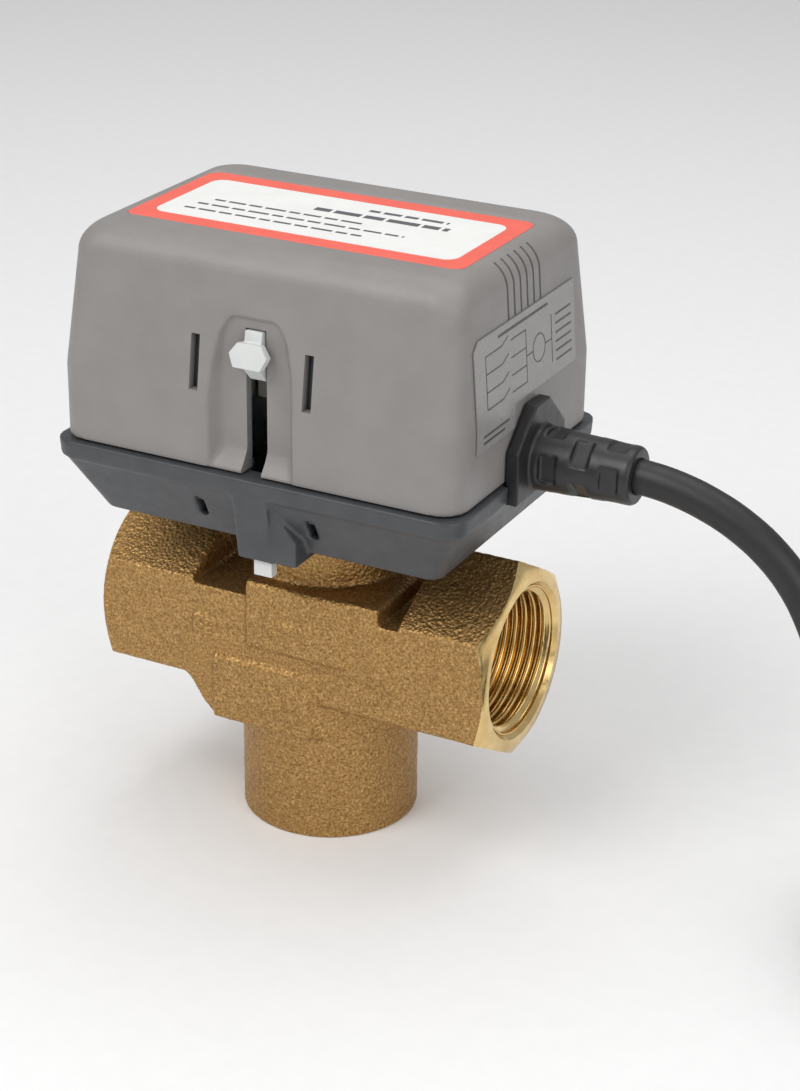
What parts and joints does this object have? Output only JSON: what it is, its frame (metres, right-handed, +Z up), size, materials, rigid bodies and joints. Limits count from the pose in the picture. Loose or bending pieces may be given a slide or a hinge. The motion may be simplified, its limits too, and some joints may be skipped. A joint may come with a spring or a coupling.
{
  "type": "zone valve",
  "caption": "Three-way motorised zone valve: cast bronze body with three threaded ports and a clip-on grey motor head with manual lever and black cable.",
  "frame": {"origin": "bottom of the downward port, under the middle of the valve and its motor head", "axes": "+Z up along the valve stem, +X along the run towards port A and the cable gland, -Y towards the manual lever"},
  "size_m": [0.281, 0.1009, 0.14],
  "materials": {
    "bronze_cast": "coarse sand-cast bronze with a fine sparkle, faces turned bright at the ports",
    "turned_brass": "turned brass, satin",
    "steel": "plain steel sheet and wire",
    "cover_plastic": "fine spark texture, warm mid grey",
    "base_plastic": "matte dark grey plastic",
    "white_plastic": "satin white plastic",
    "black_plastic": "black plastic, slightly soft",
    "cable_jacket": "soft black cable jacket",
    "seal_rubber": "black rubber",
    "label_film": "printed film: coral border, pale centre",
    "clear_film": "clear film with pale line drawing",
    "board_green": "green circuit board lacquer",
    "copper_wire": "lacquered copper winding, satin",
    "acetal": "off-white acetal",
    "terminal_green": "green terminal plastic",
    "capacitor_yellow": "dipped yellow epoxy",
    "wire_brown": "brown wire sleeve",
    "wire_blue": "blue wire sleeve",
    "wire_black": "black wire sleeve"
  },
  "bodies": {
    "valve": {"valve_body": "bronze_cast", "bonnet": "turned_brass", "cartridge_cage": "black_plastic", "cage_oring_lower": "seal_rubber", "cage_oring_middle": "seal_rubber", "cage_oring_upper": "seal_rubber", "stem_oring": "seal_rubber", "actuator_base": "base_plastic", "actuator_cover": "cover_plastic", "rating_label": "label_film", "wiring_label": "clear_film", "motor_case": "steel", "motor_lid": "steel", "motor_coil": "copper_wire", "gear_plate_left": "steel", "gear_plate_right": "steel", "plate_spacer_1": "turned_brass", "plate_spacer_2": "turned_brass", "plate_spacer_3": "turned_brass", "lever_pin": "steel", "guide_rod_front": "steel", "guide_rod_rear": "steel", "limit_switch_upper": "black_plastic", "limit_switch_lower": "black_plastic", "circuit_board": "board_green", "motor_capacitor": "capacitor_yellow", "terminal_block": "terminal_green", "terminal_screw_1": "steel", "terminal_screw_2": "steel", "terminal_screw_3": "steel", "cable_gland": "black_plastic", "power_cable": "cable_jacket", "cable_coil": "cable_jacket", "cable_tie": "white_plastic", "cable_tail": "cable_jacket", "inner_wire_brown": "wire_brown", "inner_wire_black": "wire_black", "inner_wire_blue": "wire_blue", "end_wire_brown": "wire_brown", "end_wire_black": "wire_black", "end_wire_blue": "wire_blue"},
    "stem": {"valve_stem": "steel", "valve_spool": "acetal", "spool_seal_lower": "seal_rubber", "spool_seal_upper": "seal_rubber", "spool_clip": "steel"},
    "latch": {"head_latch": "white_plastic", "latch_spring": "steel"},
    "rotor": {"motor_rotor": "steel"},
    "gear_1": {"first_gear": "turned_brass"},
    "gear_2": {"second_gear": "turned_brass"},
    "output": {"output_gear": "turned_brass"},
    "rocker": {"rocker_arm": "acetal"},
    "lever": {"manual_lever": "white_plastic"},
    "carriage": {"stem_carriage": "acetal"},
    "button_upper": {"switch_button_upper": "acetal"},
    "button_lower": {"switch_button_lower": "acetal"}
  },
  "joints": [
    {"name": "motor_spin", "type": "hinge", "parent": "valve", "child": "rotor", "pos_m": [0, -0.01018, 0.11378], "axis": [1, 0, 0], "range_deg": [0, 9008.33]},
    {"name": "gear_1_turn", "type": "hinge", "parent": "valve", "child": "gear_1", "pos_m": [0, 0.00254, 0.11108], "axis": [1, 0, 0], "range_deg": [-1885.48, 0]},
    {"name": "gear_2_turn", "type": "hinge", "parent": "valve", "child": "gear_2", "pos_m": [0, 0.01089, 0.10112], "axis": [1, 0, 0], "range_deg": [0, 394.65]},
    {"name": "output_turn", "type": "hinge", "parent": "valve", "child": "output", "pos_m": [0, 0.01959, 0.09146], "axis": [1, 0, 0], "range_deg": [-82.61, 0]},
    {"name": "rocker_swing", "type": "hinge", "parent": "valve", "child": "rocker", "pos_m": [0, 0.024, 0.1085], "axis": [1, 0, 0], "range_deg": [0, 21.25]},
    {"name": "carriage_slide", "type": "slide", "parent": "valve", "child": "carriage", "axis": [0, 0, -1], "range_m": [0, 0.009]},
    {"name": "stem_slide", "type": "slide", "parent": "valve", "child": "stem", "axis": [0, 0, -1], "range_m": [0, 0.00905]},
    {"name": "lever_push", "type": "slide", "parent": "rocker", "child": "lever", "axis": [0, 0.9829, -0.1843], "range_m": [0, 0.001]},
    {"name": "latch_push", "type": "slide", "parent": "valve", "child": "latch", "axis": [0, 1, 0], "range_m": [0, 0.0025], "stiffness_N_per_m": 800},
    {"name": "button_upper_press", "type": "slide", "parent": "valve", "child": "button_upper", "axis": [0, 0, 1], "range_m": [0, 0.0008], "stiffness_N_per_m": 400},
    {"name": "button_lower_press", "type": "slide", "parent": "valve", "child": "button_lower", "axis": [0, 0, -1], "range_m": [0, 0.0008], "stiffness_N_per_m": 400}
  ],
  "couplings": [
    {"joint": "stem_slide", "follows": "carriage_slide", "ratio": 1},
    {"joint": "rocker_swing", "follows": "carriage_slide", "rad_per_m": 41.188},
    {"joint": "output_turn", "follows": "carriage_slide", "rad_per_m": -160.18},
    {"joint": "gear_2_turn", "follows": "carriage_slide", "rad_per_m": 765.29},
    {"joint": "gear_1_turn", "follows": "carriage_slide", "rad_per_m": -3656.4},
    {"joint": "motor_spin", "follows": "carriage_slide", "rad_per_m": 17469}
  ]
}
